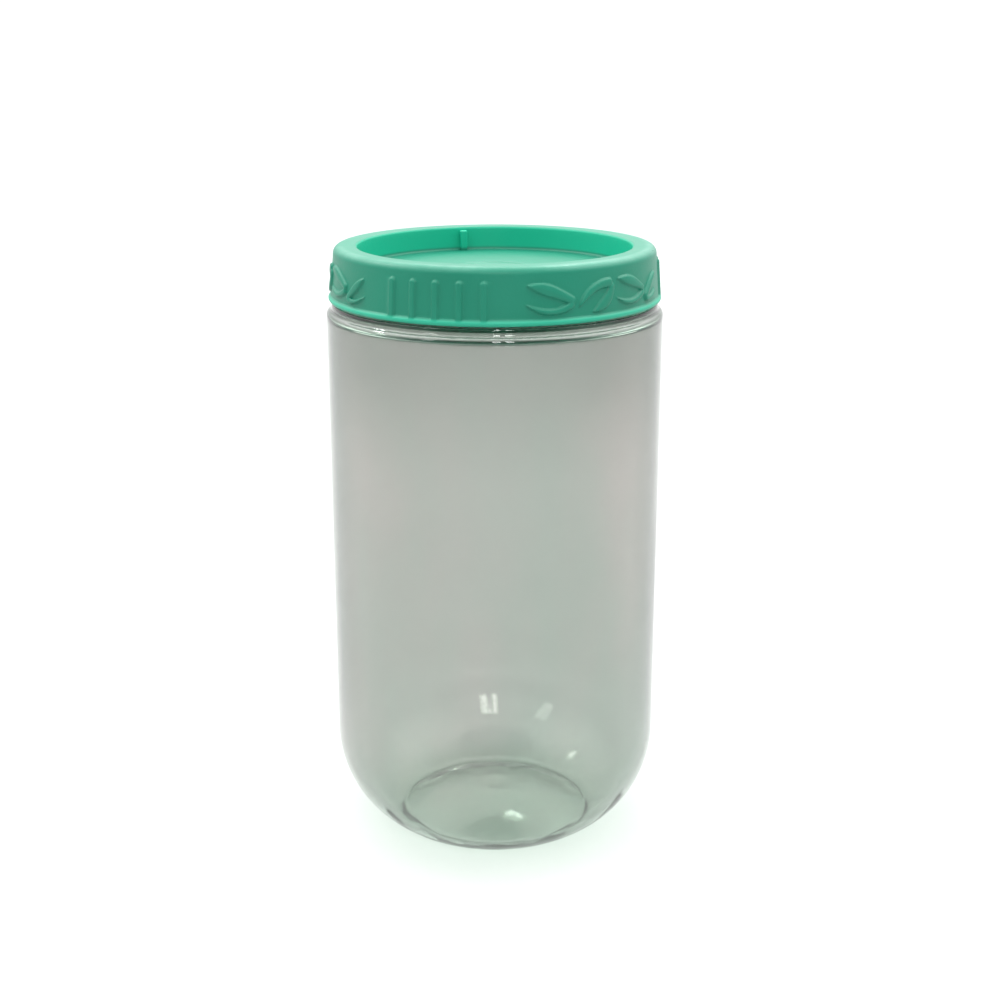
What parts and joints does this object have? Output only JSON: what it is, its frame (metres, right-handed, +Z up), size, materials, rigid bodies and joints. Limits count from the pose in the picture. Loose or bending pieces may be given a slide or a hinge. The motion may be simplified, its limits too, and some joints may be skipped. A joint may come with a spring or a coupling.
{
  "type": "screw-lid jar",
  "caption": "Clear wide-mouth plastic jar with a coloured screw lid, relief leaves and grip ribs on its skirt, and a recessed top for stacking.",
  "frame": {"origin": "centre of the jar's foot ring, on the surface that the jar stands on", "axes": "+Z up along the jar's axis, -Y towards the front, where a group of grip ribs and a leaf relief meet, +X to the right seen from the front"},
  "size_m": [0.11, 0.11, 0.2015],
  "materials": {
    "clear_pet": "gloss",
    "soft_seal": "satin",
    "green_pp": "satin"
  },
  "bodies": {
    "jar": {"jar": "clear_pet"},
    "seal": {"seal_ring": "soft_seal"},
    "lid": {"lid": "green_pp"}
  },
  "joints": [
    {"name": "lid_rise", "type": "slide", "parent": "jar", "child": "seal", "axis": [0, 0, 1], "range_m": [0, 0.054]},
    {"name": "lid_turn", "type": "hinge", "parent": "seal", "child": "lid", "pos_m": [0, 0, 0.19], "axis": [0, 0, 1], "range_deg": [0, 1080]}
  ],
  "couplings": [
    {"joint": "lid_rise", "follows": "lid_turn", "m_per_rad": 0.0028648}
  ]
}
